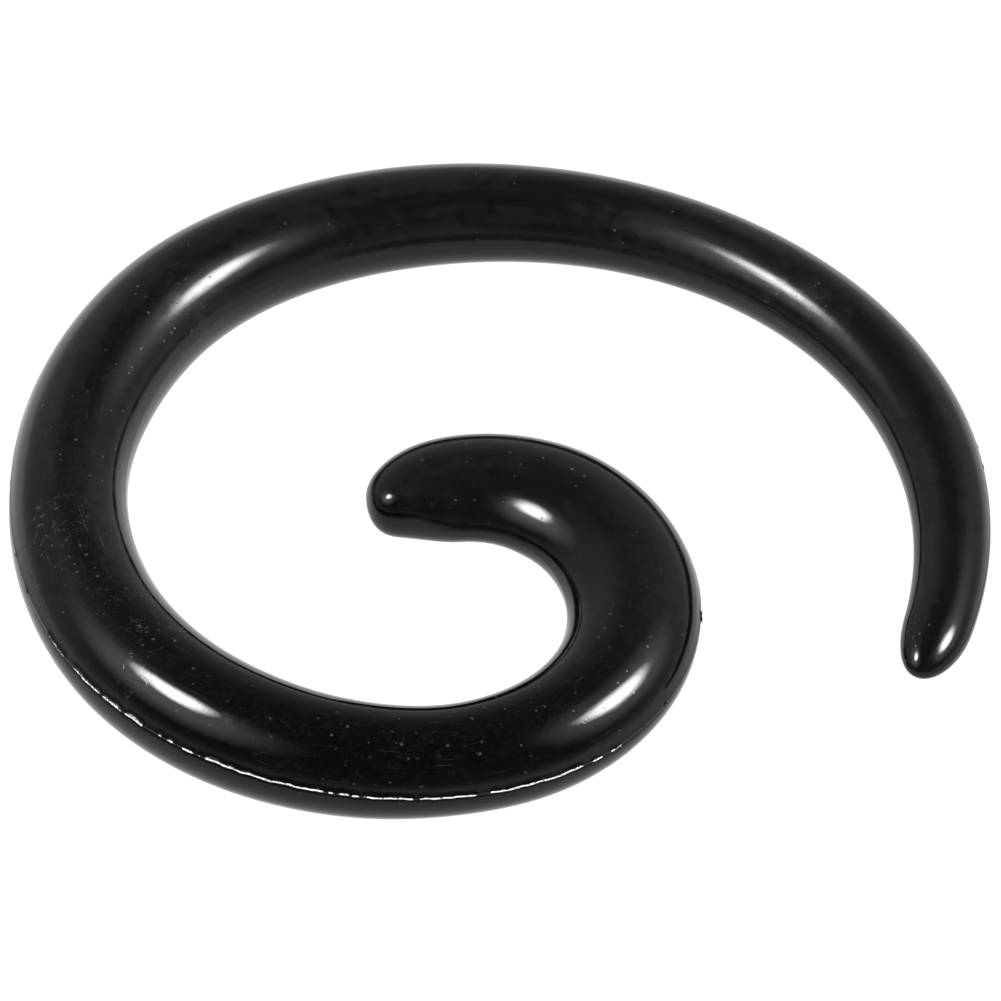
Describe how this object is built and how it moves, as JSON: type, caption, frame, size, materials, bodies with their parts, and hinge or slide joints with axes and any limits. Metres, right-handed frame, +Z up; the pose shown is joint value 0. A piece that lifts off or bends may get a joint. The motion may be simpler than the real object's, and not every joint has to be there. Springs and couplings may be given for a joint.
{
  "type": "spiral ear taper",
  "caption": "Flat spiral ear taper moulded in one piece: an oval tube from a thick blunt curl round one wide turn to a thin rounded tip, worn in a stretched ear lobe.",
  "frame": {"origin": "middle of the spiral's box, on the surface that it lies on", "axes": "+Z up, square to the spiral's plane, its shortest extent; +X across the spiral's widest way, towards the side of the thin tip; the tube turns clockwise seen from +Z, from the thick end outwards"},
  "size_m": [0.042, 0.0384, 0.0048],
  "materials": {
    "acrylic": "moulded jet-black acrylic, polished to a high gloss, with a mould line round its edge"
  },
  "bodies": {
    "root": {"taper": "acrylic"}
  },
  "joints": []
}
